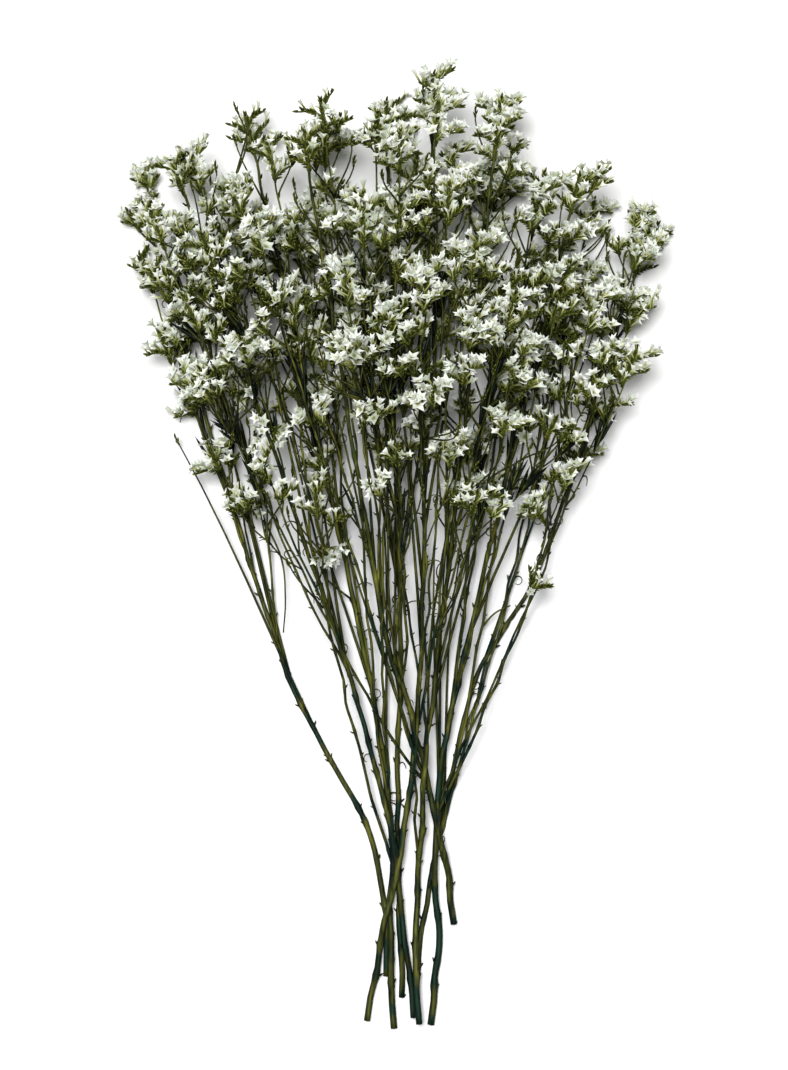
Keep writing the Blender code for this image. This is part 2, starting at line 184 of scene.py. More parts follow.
class Ending(Enum):
    """How a thin stray twig ends."""

    BROKEN = "broken"
    BUDS = "buds"
    HEAD = "head"


@dataclass(frozen=True)
class Stray:
    """A thin twig that stands out in the photograph: its stem, its course over the table and its end."""

    stem: int
    course: tuple[tuple[float, float], ...]
    ending: Ending = Ending.BROKEN


STRAYS = (
    Stray(1, ((-0.101, 0.072), (-0.096, 0.055), (-0.088, 0.034), (-0.076, 0.022))),
    Stray(1, ((-0.064, 0.017), (-0.058, -0.006), (-0.056, -0.027), (-0.057, -0.044))),
    Stray(4, ((0.092, 0.022), (0.0925, 0.027), (0.089, 0.031), (0.085, 0.033))),
    Stray(5, ((-0.067, 0.190), (-0.074, 0.205), (-0.080, 0.222)), Ending.BUDS),
    Stray(5, ((-0.074, 0.205), (-0.073, 0.211), (-0.071, 0.218)), Ending.BUDS),
    Stray(1, ((-0.118, 0.166), (-0.125, 0.180), (-0.130, 0.194)), Ending.HEAD),
    Stray(5, ((-0.112, 0.176), (-0.110, 0.186), (-0.107, 0.197)), Ending.HEAD),
    Stray(1, ((-0.125, 0.155), (-0.131, 0.163), (-0.137, 0.173)), Ending.HEAD),
    Stray(4, ((0.128, 0.142), (0.132, 0.153), (0.136, 0.166)), Ending.HEAD),
    Stray(4, ((0.120, 0.146), (0.122, 0.158), (0.125, 0.172)), Ending.HEAD),
    Stray(6, ((0.096, 0.168), (0.100, 0.180), (0.103, 0.191)), Ending.HEAD),
    Stray(7, ((0.003, -0.006), (0.008, 0.004), (0.007, 0.017), (0.001, 0.020), (-0.001, 0.015))),
    Stray(2, ((-0.028, -0.027), (-0.035, -0.016), (-0.039, -0.004), (-0.036, 0.004))),
    Stray(9, ((0.019, -0.047), (0.026, -0.038), (0.026, -0.026), (0.021, -0.022))),
    Stray(6, ((0.045, -0.040), (0.052, -0.034), (0.060, -0.030))),
)


@dataclass(frozen=True)
class Crown:
    """The fan of flower spikes, measured from the waist where the stems cross."""

    waist: tuple[float, float, float] = (0.005, -0.180, 0.008)
    height: float = 0.112
    edge_share: float = 0.42
    arch: tuple[float, float] = (0.28, 0.60)
    reach: tuple[tuple[float, float], ...] = (
        (-24.0, 0.330),
        (-21.0, 0.378),
        (-16.0, 0.386),
        (-9.0, 0.398),
        (2.0, 0.408),
        (7.0, 0.402),
        (13.0, 0.372),
        (21.0, 0.362),
        (23.0, 0.320),
    )
    spikes: int = 134
    nearest_share: float = 0.53
    outward_power: float = 0.6
    upward_power: float = 0.85
    choices: int = 16
    lowest: float = 0.0105
    outline: tuple[tuple[float, float, float], ...] = (
        (-0.033, -0.006, 0.30),
        (-0.032, 0.030, 0.55),
        (-0.074, 0.024, 0.10),
        (-0.094, 0.050, 0.45),
        (-0.107, 0.078, 0.05),
        (-0.121, 0.112, 0.35),
        (-0.131, 0.150, 0.05),
        (-0.104, 0.200, 0.50),
        (-0.030, 0.229, 0.55),
        (0.058, 0.226, 0.35),
        (0.079, 0.192, 0.20),
        (0.103, 0.178, 0.05),
        (0.128, 0.128, 0.35),
        (0.117, 0.100, 0.05),
        (0.111, 0.075, 0.50),
        (0.099, 0.050, 0.10),
        (0.030, 0.052, 0.60),
    )

    def reach_at(self, direction: float) -> float:
        """How far the outermost spikes stand from the waist in a direction, in degrees from +Y."""
        angles, reaches = zip(*self.reach)
        return float(np.interp(direction, angles, reaches))

    def top_at(self, direction: float, share: float) -> float:
        """The height of the crown's top in a direction, at a share of its reach."""
        left, right = self.reach[0][0], self.reach[-1][0]
        across = (direction - left) / (right - left) * 2 - 1
        arch = math.sin(math.pi * lerp(*self.arch, share))
        return self.height * lerp(1.0, self.edge_share, across**2) * arch

    def random_spot(self, rng: random.Random) -> Vector:
        """A place in the crown for one spike."""
        direction = rng.uniform(self.reach[0][0], self.reach[-1][0])
        share = lerp(self.nearest_share, 1.0, rng.random() ** self.outward_power)
        reach, turn = self.reach_at(direction) * share, math.radians(direction)
        z = lerp(self.lowest, self.top_at(direction, share), rng.random() ** self.upward_power)
        return Vector((self.waist[0] + math.sin(turn) * reach, self.waist[1] + math.cos(turn) * reach, z))

    def outline_spot(self, x: float, y: float, height_share: float) -> Vector:
        """The place of a spike that shows in the outline."""
        direction = math.degrees(math.atan2(x - self.waist[0], y - self.waist[1]))
        share = math.hypot(x - self.waist[0], y - self.waist[1]) / self.reach_at(direction)
        return Vector((x, y, lerp(self.lowest, self.top_at(direction, share), height_share)))

    def spots(self, rng: random.Random, tips: list[Vector]) -> list[Vector]:
        """The spikes' places beside the stems' own, each the loneliest of a few random ones.

        Args:
            rng: the seeded source of the draws.
            tips: the stems' own tips.

        Returns:
            The places without the stems' tips.
        """
        spots = [*tips, *[self.outline_spot(*spike) for spike in self.outline]]
        while len(spots) < self.spikes:
            choices = [self.random_spot(rng) for _ in range(self.choices)]
            spots.append(max(choices, key=lambda spot: min((spot - s).length for s in spots)))
        return spots[len(tips) :]


@dataclass
class BunchPlanner:
    """Lays the stems over each other and grows branches and twigs to the spikes' places."""

    crown: Crown = field(default_factory=Crown)
    seed: int = 7
    stem_tip_radius: float = 0.0007
    stem_rings: int = 14
    stem_rise: float = 1.15
    bend_slope: float = 0.14
    rest_sink: float = 0.0003
    branch_groups: int = 7
    lowest_root_share: float = 0.18
    branch_tries: int = 14
    try_step: float = 0.0022
    wobble_share: float = 0.012
    root_bend: float = 2.0
    tip_lift: tuple[float, float] = (-0.1, 0.3)
    least_taper: float = 1.15
    gap: float = 0.00035
    ball_step: float = 0.0012
    lift_step: float = 0.0002
    floret_radius: float = 0.0075
    floret_length: float = 0.0088
    floret_stalk: float = 0.0027
    per_spike: tuple[int, int] = (2, 3)
    floret_step: float = 0.0075
    spike_length: float = 0.022
    longest_spike_share: float = 0.7
    spike_radius: float = 0.0016
    spike_tip_radius: float = 0.0009
    end_lean: tuple[float, float] = (0.2, 0.6)
    side_rise: float = 0.5
    spike_turn: float = math.radians(75)
    row_turn: float = math.radians(50)
    table_cut: float = 0.003

    def plan(self) -> list[list[Shoot]]:
        """The stems, each as a list of shoots that starts with the main stem."""
        rng = random.Random(self.seed)
        mains: list[Shoot] = []
        below: list[np.ndarray] = []
        for stem in STEMS:
            mains.append(self._lay_stem(stem, below, rng))
            below.append(self._balls_along(mains[-1].points, mains[-1].radii))
        owned: list[list[Vector]] = [[] for _ in mains]
        for spot in self.crown.spots(rng, [main.route[-1] for main in mains]):
            owned[self._nearest_stem(spot, mains)].append(spot)
        stems = [[main] for main in mains]
        taken = [self._balls(main) for main in mains]
        for k, main in enumerate(mains):
            others = np.concatenate([rows for j, rows in enumerate(taken) if j != k])
            stems[k] += self._grow(main, owned[k], BRANCH, others, rng)
            taken[k] = np.concatenate([self._balls(shoot) for shoot in stems[k]])
        return stems

    def _balls_along(self, points: list[Vector], radii: list[float]) -> np.ndarray:
        """Rows of x, y, z and radius along a tube, no further apart than the ball step."""
        rows = []
        for (a, b), (wide, narrow) in zip(zip(points, points[1:]), zip(radii, radii[1:])):
            for share in np.linspace(0.0, 1.0, max(2, int((b - a).length / self.ball_step) + 1)):
                rows.append((*lerp(a, b, share), lerp(wide, narrow, share)))
        return np.array(rows)

    def _balls(self, shoot: Shoot) -> np.ndarray:
        """Rows of x, y, z and radius that fill a shoot's solid."""
        rows = [self._balls_along(shoot.points, shoot.radii)]
        for root, direction in shoot.florets:
            for share in (0.35, 0.85):
                centre = root + direction * (self.floret_stalk + self.floret_length * share)
                rows.append(np.array([(*centre, self.floret_radius * min(1.02, share * 1.3))]))
        return np.concatenate(rows)

    def _is_clear(self, balls: np.ndarray, taken: np.ndarray) -> bool:
        """Whether none of the balls comes within the gap of what other stems have taken."""
        margin = self.floret_radius * 2 + self.gap
        low, high = balls[:, :3].min(0) - margin, balls[:, :3].max(0) + margin
        near = taken[(taken[:, :3] > low).all(1) & (taken[:, :3] < high).all(1)]
        if not len(near):
            return True
        apart = np.linalg.norm(balls[:, None, :3] - near[None, :, :3], axis=2)
        return bool((apart > balls[:, None, 3] + near[None, :, 3] + self.gap).all())

    def _laid_over(self, course: list[Vector], radius: float, below: list[np.ndarray]) -> list[Vector]:
        """The course, raised where it passes over the stems below and bent down again on both sides."""
        points = np.array(course)
        needed = points[:, 2].copy()
        for balls in below:
            apart = np.linalg.norm(points[:, None, :2] - balls[None, :, :2], axis=2)
            room = radius + balls[None, :, 3] + self.gap
            over = balls[None, :, 2] + np.sqrt(np.maximum(room**2 - apart**2, 0.0))
            needed = np.maximum(needed, np.where(apart < room, over, 0.0).max(1))
        fall = np.abs(points[:, None, 1] - points[None, :, 1]) * self.bend_slope
        lift = ((needed - points[:, 2])[None, :] - fall).max(1)
        return [Vector((x, y, z + up)) for (x, y, z), up in zip(points, lift)]

    def _lay_stem(self, plan: StemPlan, below: list[np.ndarray], rng: random.Random) -> Shoot:
        """A main stem from its cut end to its tip, laid over the stems below it."""
        radius, tip, waist = plan.radius, Vector(plan.tip), self.crown.waist
        course = smooth([*[Vector((x, y, 0.0)) for x, y in plan.course], tip.xy.to_3d()], 160)
        for point in course:
            share = max(0.0, (point.y - waist[1]) / (tip.y - waist[1]))
            point.z = lerp(radius - self.rest_sink, tip.z, share**self.stem_rise)
        route = evenly(self._laid_over(course, radius, below), 91)
        points = evenly(route, self.stem_rings)
        last = self.stem_rings - 1
        radii = [lerp(radius, self.stem_tip_radius, k / last) for k in range(self.stem_rings)]
        turn = math.pi / 2 if plan.rests else rng.uniform(-self.spike_turn, self.spike_turn)
        taken = np.concatenate(below) if below else np.empty((0, 4))
        while not self._is_clear(self._balls_along(points, radii), taken):
            for point in [*route, *points]:
                point.z += self.lift_step
        return Shoot(route, points, radii, self._spike_florets(points, turn, rng))

    def _spike_florets(self, points: list[Vector], turn: float, rng: random.Random) -> list:
        """(root, direction) of a spike's florets: one at the tip, the others in two rows on one side."""
        axis = (points[-1] - points[-2]).normalized()
        side = axis.cross(UP).normalized()
        out = Matrix.Rotation(turn, 3, axis) @ side.cross(axis)
        florets = [(points[-1], (axis + out * rng.uniform(*self.end_lean)).normalized())]
        for k in range(1, rng.choice(self.per_spike)):
            row = Matrix.Rotation(self.row_turn * (-1) ** k, 3, axis) @ out
            florets.append((back_along(points, self.floret_step * k), (axis * self.side_rise + row).normalized()))
        return florets

    def _nearest_stem(self, spot: Vector, stems: list[Shoot]) -> int:
        """The number of the stem whose upper half passes nearest to a spot."""
        return min(range(len(stems)), key=lambda k: min((spot - p).length for p in stems[k].route[45::3]))

    def _grouped(self, parent: Shoot, tips: list[Vector]) -> list[list[Vector]]:
        """Tips in groups by the side of the parent on which they stand."""
        axis = (parent.route[-1] - parent.route[0]).normalized()
        side = axis.cross(UP).normalized()
        up = side.cross(axis)
        groups: dict[int, list[Vector]] = {}
        for tip in tips:
            arm = tip - min(parent.route, key=lambda p: (p - tip).length)
            turn = math.atan2(arm.dot(up), arm.dot(side)) % math.tau
            groups.setdefault(int(turn / math.tau * self.branch_groups), []).append(tip)
        return [groups[k] for k in sorted(groups)]

    def _side_route(self, parent: Shoot, tip: Vector, angle: float, rng: random.Random) -> tuple:
        """A route that leaves the parent, swings up beside it and ends at the tip, and its root's number."""
        line = parent.route
        gaps = [(p - tip).length for p in line]
        nearest = gaps.index(min(gaps))
        back = int(gaps[nearest] / math.tan(angle) / (line[1] - line[0]).length)
        root = min(max(nearest - back, int(len(line) * self.lowest_root_share)), len(line) - 3)
        start, along = line[root], (line[root + 1] - line[root]).normalized()
        chord = tip - start
        leave = (chord.normalized() * self.root_bend - along).normalized()
        outward = (tip - Vector(self.crown.waist)).normalized()
        arrive = (chord.normalized() + outward + UP * rng.uniform(*self.tip_lift)).normalized()
        bend = chord.length / 3
        route = interpolate_bezier(start, start + leave * bend, tip - arrive * bend, tip, 60)
        wobble = Vector([rng.uniform(-1, 1) for _ in range(3)]) * chord.length * self.wobble_share
        for k, point in enumerate(route):
            share = k / (len(route) - 1)
            point += wobble * math.sin(math.pi * share) * math.cos(math.pi * 2 * share)
        return root, evenly(route, 41)

    def _spike_points(self, route: list[Vector]) -> list[Vector]:
        """The points of a twig's rings: its root and middle, the middle of its spike, and its tip."""
        spike = min(self.spike_length / route_length(route), self.longest_spike_share)
        marks = (0.0, (1.0 - spike) / 2, 1.0 - spike / 2, 1.0)
        return [route[round(mark * (len(route) - 1))] for mark in marks]

    def _shoot_from(self, parent: Shoot, tip: Vector, kind: ShootKind, rng: random.Random) -> Shoot:
        """A branch or twig from the parent to the tip."""
        root, route = self._side_route(parent, tip, math.radians(rng.uniform(*kind.angle)), rng)
        place = root / (len(parent.route) - 1) * (len(parent.radii) - 1)
        thick = float(np.interp(place, range(len(parent.radii)), parent.radii)) * kind.root_share
        thin = kind.tip_radius
        thick = max(thick, thin * self.least_taper)
        turn = rng.uniform(-self.spike_turn, self.spike_turn)
        if kind is TWIG:
            points = self._spike_points(route)
            radii = [thick, thin, self.spike_radius, self.spike_tip_radius]
        else:
            points = evenly(route, kind.rings)
            radii = [lerp(thick, thin, k / (kind.rings - 1)) for k in range(kind.rings)]
        return Shoot(route, points, radii, self._spike_florets(points, turn, rng), kind)

    def _try_shoot(self, parent: Shoot, tip: Vector, kind: ShootKind, taken: np.ndarray, rng) -> Optional[Shoot]:
        """A shoot to the tip or near it that is clear of the other stems, or None where there is no room."""
        for attempt in range(self.branch_tries):
            spot = tip + Vector([rng.uniform(-1, 1) for _ in range(3)]) * self.try_step * attempt
            spot.z = max(spot.z, self.crown.lowest)
            shoot = self._shoot_from(parent, spot, kind, rng)
            balls = self._balls(shoot)
            over_table = (balls[:, 2] > balls[:, 3] - self.table_cut).all()
            if over_table and min(p.z for p in shoot.points) > shoot.radii[0] and self._is_clear(balls, taken):
                return shoot
        return None

    def _grow(self, parent: Shoot, tips: list[Vector], kind: ShootKind, taken: np.ndarray, rng) -> list[Shoot]:
        """Shoots that carry the tips: a branch for each group, with the group's other tips on its twigs."""
        if kind is TWIG:
            made = [self._try_shoot(parent, tip, TWIG, taken, rng) for tip in tips]
            return [shoot for shoot in made if shoot]
        grown: list[Shoot] = []
        for group in self._grouped(parent, tips):
            waiting = sorted(group, key=lambda tip: -(tip - Vector(self.crown.waist)).length)
            leader = None
            while waiting and not leader:
                leader = self._try_shoot(parent, waiting.pop(0), kind, taken, rng)
            if leader:
                grown += [leader, *self._grow(leader, waiting, TWIG, taken, rng)]
        return grown


class Organ(Enum):
    """What a part of a piece is, which sets its finish."""

    STEM = 0
    BRACT = 1
    SCALE = 2
    # Dark straps under the flowers that are painted shade.
    SHADE_BLADE = 3


@dataclass
class Part:
    """A small mesh and, for each of its vertices, how far along the organ it lies, from 0 to 1."""

    data: bpy.types.Mesh
    along: np.ndarray


def as_part(mesh: bmesh.types.BMesh, along: np.ndarray) -> Part:
    """Frees a bmesh into a part with its faces outward."""
    bmesh.ops.recalc_face_normals(mesh, faces=mesh.faces[:])
    data = bpy.data.meshes.new("part")
    mesh.to_mesh(data)
    mesh.free()
    return Part(data, along)


def heights(mesh: bmesh.types.BMesh) -> np.ndarray:
    """Each vertex's height as a share of the mesh's own height."""
    z = np.array([v.co.z for v in mesh.verts])
    return (z - z.min()) / (z.max() - z.min())


def extruded(mesh: bmesh.types.BMesh, edges: list) -> tuple[list, list]:
    """Extrudes a ring of edges in place and returns its new vertices and edges."""
    grown = bmesh.ops.extrude_edge_only(mesh, edges=edges)["geom"]
    verts = [g for g in grown if isinstance(g, bmesh.types.BMVert)]
    fresh = set(verts)
    ring = {e for v in verts for e in v.link_edges if e.verts[0] in fresh and e.verts[1] in fresh}
    return verts, list(ring)


def tube(route: Sequence[Vector], radii: Sequence[float], sides: int) -> Part:
    """A closed tapering tube along a route.

    Args:
        route: the points of its middle line.
        radii: its radius at each point.
        sides: how many sides it has.

    Returns:
        The tube, whose vertices know how far along the route they lie.
    """
    mesh = bmesh.new()
    axis = (route[1] - route[0]).normalized()
    place = Matrix.Translation(route[0]) @ axis.to_track_quat("Z", "Y").to_matrix().to_4x4()
    bmesh.ops.create_circle(mesh, cap_ends=True, segments=sides, radius=radii[0], matrix=place)
    edges = mesh.edges[:]
    last = len(route) - 1
    for k in range(1, len(route)):
        after = (route[min(k + 1, last)] - route[k - 1]).normalized()
        turn = axis.rotation_difference(after).to_matrix().to_4x4()
        axis = after
        verts, edges = extruded(mesh, edges)
        grow = Matrix.Scale(radii[k] / radii[k - 1], 4)
        step = Matrix.Translation(route[k]) @ turn @ grow @ Matrix.Translation(-route[k - 1])
        bmesh.ops.transform(mesh, matrix=step, verts=verts)
    bmesh.ops.edgeloop_fill(mesh, edges=edges)
    return as_part(mesh, np.repeat(np.linspace(0.0, 1.0, len(route)), sides))


def placed(origin: Vector, direction: Vector, facing: Vector, size: float = 1.0) -> Matrix:
    """A matrix that stands a part on origin, along a direction, with its +Y turned to face a side."""
    z = direction.normalized()
    x = facing.cross(z)
    x = x.normalized() if x.length > 1e-6 else z.orthogonal().normalized()
    turn = Matrix((x, z.cross(x), z)).transposed()
    return Matrix.Translation(origin) @ (turn * size).to_4x4()


@dataclass
class Assembly:
    """Gathers parts into one mesh, and keeps each vertex's place on its part and each part's tone."""

    name: str
    smooth: bool = True
    mesh: bmesh.types.BMesh = field(default_factory=bmesh.new)
    along: list[np.ndarray] = field(default_factory=list)
    tone: list[np.ndarray] = field(default_factory=list)
    organ: list[np.ndarray] = field(default_factory=list)

    def add(self, part: Part, place: Optional[Matrix], tone: float, organ: Organ) -> None:
        """Adds a copy of a part.

        Args:
            part: the part, which stays as it was.
            place: where the copy stands, or None for a part that is already in place.
            tone: a number from 0 to 1 that tells its copies apart in the material.
            organ: what it is.
        """
        data = part.data.copy() if place else part.data
        if place:
            data.transform(place)
        self.mesh.from_mesh(data)
        self.along.append(part.along)
        self.tone.append(np.full(len(part.along), tone))
        self.organ.append(np.full(len(data.polygons), organ.value))
        bpy.data.meshes.remove(data)

    def finished(self, materials: Sequence[bpy.types.Material]) -> bpy.types.Object:
        """The gathered parts as one object with three attributes, one of them how far each vertex faces up for the
        painted shade of the stalk finish, and its materials.
        """
        for vert in self.mesh.verts:
            vert.co.z = max(vert.co.z, 0.0)
        data = bpy.data.meshes.new(self.name)
        self.mesh.to_mesh(data)
        self.mesh.free()
        normals = np.empty(len(data.vertices) * 3, np.float32)
        data.vertices.foreach_get("normal", normals)
        # 'upper' is how far each vertex faces up, from 0 facing down to 1 facing up; the stalk finish paints shade
        # and highlight from it.
        values = {"along": np.concatenate(self.along), "tone": np.concatenate(self.tone), "upper": normals[2::3] / 2 + 0.5}
        for name, rows in values.items():
            data.attributes.new(name, "FLOAT", "POINT").data.foreach_set("value", rows.astype(np.float32))
        data.polygons.foreach_set("material_index", np.concatenate(self.organ).astype(np.int32))
        data.polygons.foreach_set("use_smooth", np.full(len(data.polygons), self.smooth))
        for material in materials:
            data.materials.append(material)
        made = bpy.data.objects.new(self.name, data)
        bpy.context.scene.collection.objects.link(made)
        return made


@dataclass(frozen=True)
class FloretForm:
    """A papery trumpet with five pointed lobes on a narrow tube, along +Z from its root."""

    openness: float
    tube_length: float = 0.0045
    root_radius: float = 0.00055
    throat_radius: float = 0.00058
    limb_radius: tuple[float, float] = (0.0012, 0.0051)
    limb_rise: tuple[float, float] = (0.0048, 0.0024)
    notch_share: float = 0.50
    wall: float = 0.00014
    flared_from: float = 0.65
    lobes: int = 5

    def build(self, rng: random.Random) -> Part:
        """The trumpet as one closed shell: up the outside, over the pointed rim and down the inside."""
        mesh = bmesh.new()
        sides = self.lobes * 2
        bmesh.ops.create_circle(mesh, cap_ends=True, segments=sides, radius=self.root_radius)
        edges = mesh.edges[:]
        reach = lerp(*self.limb_radius, self.openness)
        rise = lerp(*self.limb_rise, self.openness)
        throat, rim = (self.throat_radius, self.tube_length), (reach, self.tube_length + rise)
        flare, marks = [], [0.0, 0.25, 0.6, 1.0]
        if self.openness > self.flared_from:
            flare = [(lerp(throat[0], reach, 0.45), self.tube_length + rise * 0.55)]
            marks = [0.0, 0.25, 0.42, 0.6, 0.78, 1.0]
        for radius, height in (throat, *flare, rim):
            verts, edges = extruded(mesh, edges)
            self._spread(verts, radius, height)
        self._shape_lobes(verts, rng)
        inner = [(radius - self.wall, height + self.wall) for radius, height in flare]
        for radius, height in (*inner, (self.throat_radius * 0.6, self.tube_length + 0.0003)):
            verts, edges = extruded(mesh, edges)
            self._spread(verts, radius, height)
        bmesh.ops.edgeloop_fill(mesh, edges=edges)
        return as_part(mesh, np.repeat(marks, sides))

    def _spread(self, verts: list, radius: float, height: float) -> None:
        """Moves a ring of vertices out to a radius and up to a height."""
        for vert in verts:
            flat = vert.co.xy.normalized() * radius
            vert.co = (flat.x, flat.y, height)

    def _shape_lobes(self, rim: list, rng: random.Random) -> None:
        """Pulls every second vertex of the rim in, so that the lobes between them are pointed."""
        for vert in rim:
            tip = round((math.atan2(vert.co.y, vert.co.x) / math.pi - 0.5) * self.lobes) % 2 == 0
            share = rng.uniform(0.82, 1.18) if tip else self.notch_share * rng.uniform(0.78, 1.18)
            sink = rng.uniform(-0.0010, 0.0010) if tip else rng.uniform(0.0004, 0.0018)
            vert.co = (vert.co.x * share, vert.co.y * share, vert.co.z - sink)


@dataclass(frozen=True)
class ScaleForm:
    """A small pointed scale or bract along +Z that is thin along Y and bends away from +Y at its tip."""

    length: float
    width: float
    thickness: float

    def build(self) -> Part:
        """The scale as a low, closed lozenge."""
        mesh = bmesh.new()
        bmesh.ops.create_uvsphere(mesh, u_segments=3, v_segments=3, radius=0.5)
        bmesh.ops.translate(mesh, verts=mesh.verts[:], vec=(0, 0, 0.5))
        for vert in mesh.verts:
            narrow = 1.0 - 0.55 * vert.co.z
            vert.co = Vector((vert.co.x * narrow, vert.co.y * narrow + 0.25 * vert.co.z**2, vert.co.z))
        bmesh.ops.scale(mesh, verts=mesh.verts[:], vec=(self.width, self.thickness, self.length))
        return as_part(mesh, heights(mesh))


@dataclass
class PartStore:
    """The shapes that are repeated: florets from bud to open, bracts, buds and node scales."""

    seed: int = 11
    openness: tuple[float, ...] = (0.06, 0.16, 0.24, 0.30, 0.36, 0.42, 0.46, 0.52, 0.58, 0.70, 0.85, 1.0)
    narrow_to: float = 0.33
    florets: list[Part] = field(default_factory=list)

    def __post_init__(self) -> None:
        """Makes each shape once."""
        rng = random.Random(self.seed)
        forms = [FloretForm(openness, lobes=3 if openness < self.narrow_to else 5) for openness in self.openness]
        self.florets = [form.build(rng) for form in forms]
        self.bract = ScaleForm(0.0035, 0.0022, 0.0012).build()
        self.bud = ScaleForm(0.0036, 0.0021, 0.0018).build()
        self.scale = ScaleForm(0.0019, 0.0009, 0.0008).build()
        # The strap shape for the painted shade under the flowers.
        self.shade_blade = ScaleForm(0.0210, 0.0032, 0.0008).build()


@dataclass
class Head:
    """A flower head: short spikelets in a fan, each a braid of bracts with a fringe of white florets."""

    store: PartStore
    green: Assembly
    white: Assembly
    rng: random.Random
    bract_step: float = 0.0017
    floret_step: float = 0.0016
    floret_reach: float = 0.0080
    limb_radius: float = 0.0048
    table_room: float = 0.0004
    lowest: float = 0.0024
    blooms: tuple[float, ...] = (0.25, 0.5, 0.7, 0.95, 1.25)

    def build(self, route: list[Vector], front: Vector, length: float, arms: int, arm: tuple[float, float]) -> None:
        """Adds a head at the end of a route.

        Args:
            route: the points of the twig that carries it.
            front: the side to which the head opens.
            length: how much of the twig its own spikelet takes up.
            arms: how many spikelets stand beside it.
            arm: the shortest and longest of these.
        """
        self.bloom = self.rng.choice(self.blooms)
        axis = (route[-1] - back_along(route, 0.006)).normalized()
        front = (front - axis * front.dot(axis)).normalized()
        main = evenly([back_along(route, length * (1 - k / 6)) for k in range(7)], 6)
        self._spikelet(main, None, front)
        for k in range(arms):
            start = back_along(route, lerp(0.003, length, (k + self.rng.random()) / arms))
            self._side_spikelet(start, axis, front, 1 if k % 2 else -1, self.rng.uniform(*arm))

    def sprig(self, route: list[Vector], bracts: int = 4) -> None:
        """Adds a few bracts at the end of a bare twig."""
        axis = (route[-1] - route[-2]).normalized()
        side = axis.orthogonal().normalized()
        for k in range(bracts):
            around = Matrix.Rotation(k * 2.4, 3, axis) @ side
            root = back_along(route, k * 0.0009)
            self._add_scale(self.store.bud, root, axis + around * self.rng.uniform(0.1, 0.45), around, 0.85)

    def _side_spikelet(self, start: Vector, axis: Vector, front: Vector, hand: int, length: float) -> None:
        """A short spikelet that arches away to one side, with its florets on the side of the tip."""
        turn = math.radians(self.rng.uniform(34, 72)) * hand
        lean = (Matrix.Rotation(turn, 3, front) @ axis + front * self.rng.uniform(-0.35, 0.45)).normalized()
        points = []
        for k in range(5):
            share = k / 4
            point = start + lerp(axis, lean, 0.35 + 0.65 * share) * length * share
            point.z = max(point.z, self.lowest)
            points.append(point)
        along = (points[-1] - points[0]).normalized()
        crest = (axis - along * axis.dot(along)).normalized()
        self._spikelet(points, crest, front)

    def _spikelet(self, points: list[Vector], crest: Optional[Vector], front: Vector) -> None:
        """A braid of bracts with its florets towards the crest, or to both sides where it has none."""
        radii = [lerp(0.0005, 0.0003, k / (len(points) - 1)) for k in range(len(points))]
        self.green.add(tube(points, radii, 4), None, self.rng.random(), Organ.STEM)
        length = route_length(points)
        axis = (points[-1] - points[0]).normalized()
        front = (front - axis * front.dot(axis)).normalized()
        side = axis.cross(front)
        rng = self.rng
        for k in range(max(2, int(length / self.bract_step))):
            root = back_along(points, max(0.0, length - k * self.bract_step - 0.0005))
            for hand in (-1, 1):
                lean = axis + side * hand * rng.uniform(0.36, 0.48) + front * rng.uniform(0.0, 0.12)
                self._add_scale(self.store.bract, root, lean, front + side * hand * 0.5, rng.uniform(0.85, 1.15))
        count = max(1, round(length / self.floret_step * self.bloom))
        for k in range(count):
            towards = crest if crest else side * (1 if k % 2 else -1)
            root = back_along(points, (k + rng.random()) / count * length * 0.85)
            lean = axis * rng.uniform(0.6, 1.2) + towards * rng.uniform(0.35, 1.0)
            self._add_floret(root, lean + front * rng.uniform(-0.3, 0.5) + side * rng.uniform(-0.3, 0.3))
        for _ in range(2):
            lean = axis + side * rng.uniform(-0.4, 0.4) + front * rng.uniform(-0.1, 0.4)
            self._add_scale(self.store.bud, points[-1], lean, front, rng.uniform(0.8, 1.1))

    def _add_scale(self, part: Part, root: Vector, lean: Vector, facing: Vector, size: float) -> None:
        """A bract or bud, left out where it would meet the table."""
        direction = lean.normalized()
        if min(root.z, (root + direction * 0.005 * size).z) > 0.0012:
            self.green.add(part, placed(root, direction, facing, size), self.rng.random(), Organ.BRACT)

    def _add_floret(self, root: Vector, lean: Vector) -> None:
        """A floret, turned up where it would meet the table."""
        size = self.rng.uniform(0.74, 1.06) * (0.86 + 0.12 * self.bloom)
        direction = lean.normalized()
        for _ in range(30):
            flat = math.sqrt(max(0.0, 1.0 - direction.z**2))
            if root.z + (direction.z * self.floret_reach - flat * self.limb_radius) * size > self.table_room:
                break
            direction = (direction + UP * 0.2).normalized()
        facing = Vector([self.rng.uniform(-1, 1) for _ in range(3)])
        form = self.rng.choice(self.store.florets)
        self.white.add(form, placed(root, direction, facing, size), self.rng.random(), Organ.STEM)


